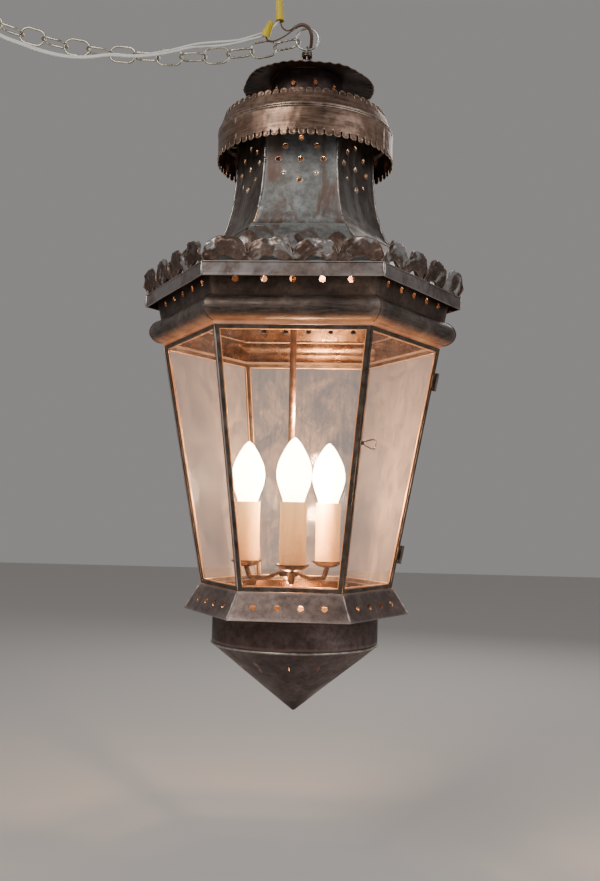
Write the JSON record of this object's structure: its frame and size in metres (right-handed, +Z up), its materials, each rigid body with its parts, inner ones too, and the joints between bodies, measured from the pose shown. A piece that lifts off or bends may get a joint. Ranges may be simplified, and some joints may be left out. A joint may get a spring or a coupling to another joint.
{
  "type": "hanging lantern",
  "caption": "Hanging six-sided glazed metal lantern with pierced chimney, leaf-crested eave, hinged door, candle lamps, swag chain and wires.",
  "frame": {"origin": "top of the suspension ring's hole, where the hook bears", "axes": "+Z up along the lantern's axis; the front pane faces -Y; the swag chain leaves towards -X"},
  "size_m": [0.7274, 0.3964, 1.057],
  "materials": {
    "steel_wire": "dull zinc-plated wire",
    "chain_brass": "pale antique brass, slightly tarnished",
    "brown_cord": "brown plastic insulation",
    "white_wire": "white plastic insulation",
    "yellow_plastic": "yellow moulded plastic",
    "glass": "old dusty sheet glass with streaks",
    "bulb_glass": "frosted glass lit from inside",
    "candle_card": "cream candle sleeve",
    "lamp_brass": "aged brass",
    "tinned_wire": "tinned wire with solder",
    "black_rubber": "black rubber",
    "aged_copper": "hammered sheet with a dark brown patina and solder"
  },
  "bodies": {
    "ring": {"suspension_ring": "steel_wire", "chain_links": "chain_brass", "ceiling_hook": "chain_brass", "ceiling_plate": "chain_brass", "lamp_cord": "brown_cord", "cord_core_a": "brown_cord", "cord_core_b": "brown_cord", "white_wire_a": "white_wire", "white_wire_b": "white_wire", "wire_nut_a": "yellow_plastic", "wire_nut_b": "yellow_plastic"},
    "lantern": {"hanger_eye": "tinned_wire", "hanger_binding": "tinned_wire", "cord_bush": "black_rubber", "crown_disc": "aged_copper", "vent_drum": "aged_copper", "crown_shoulder": "aged_copper", "band_upper": "aged_copper", "band_bead": "aged_copper", "band_lower": "aged_copper", "chimney": "aged_copper", "roof": "aged_copper", "cresting_1": "aged_copper", "cresting_2": "aged_copper", "cresting_3": "aged_copper", "cresting_4": "aged_copper", "cresting_5": "aged_copper", "cresting_6": "aged_copper", "eave_fascia": "aged_copper", "frieze": "aged_copper", "roll_moulding": "aged_copper", "glass_rail": "aged_copper", "pane_frame_1": "aged_copper", "pane_glass_1": "glass", "pane_frame_3": "aged_copper", "pane_glass_3": "glass", "pane_frame_4": "aged_copper", "pane_glass_4": "glass", "pane_frame_5": "aged_copper", "pane_glass_5": "glass", "pane_frame_6": "aged_copper", "pane_glass_6": "glass", "door_hinge_pins": "aged_copper", "bottom_skirt": "aged_copper", "bottom_drum": "aged_copper", "drum_bead": "aged_copper", "bottom_cone": "aged_copper", "stem_crossbar": "lamp_brass", "stem_rod": "lamp_brass", "cluster_hub": "lamp_brass", "candle_arms": "lamp_brass", "drip_cups": "lamp_brass", "candle_sockets": "lamp_brass", "candle_sleeves": "candle_card"},
    "door": {"door_frame": "aged_copper", "door_glass": "glass"},
    "latch": {"latch_loop": "tinned_wire"},
    "bulb_1": {"bulb_1": "bulb_glass"},
    "bulb_2": {"bulb_2": "bulb_glass"},
    "bulb_3": {"bulb_3": "bulb_glass"}
  },
  "joints": [
    {"name": "lantern_swing", "type": "hinge", "parent": "ring", "child": "lantern", "pos_m": [0, 0, -0.03025], "axis": [1, 0, 0], "range_deg": [-10, 10]},
    {"name": "door_swing", "type": "hinge", "parent": "lantern", "child": "door", "pos_m": [0.16544, 0, -0.62483], "axis": [0.1846, 0, 0.9828], "range_deg": [0, 110]},
    {"name": "latch_turn", "type": "hinge", "parent": "door", "child": "latch", "pos_m": [0.08492, -0.1412, -0.60109], "axis": [0.8548, -0.4935, -0.1605], "range_deg": [-90, 90]},
    {"name": "bulb_1_out", "type": "slide", "parent": "lantern", "child": "bulb_1", "axis": [0, 0, 1], "range_m": [0, 0.06]},
    {"name": "bulb_2_out", "type": "slide", "parent": "lantern", "child": "bulb_2", "axis": [0, 0, 1], "range_m": [0, 0.06]},
    {"name": "bulb_3_out", "type": "slide", "parent": "lantern", "child": "bulb_3", "axis": [0, 0, 1], "range_m": [0, 0.06]}
  ]
}
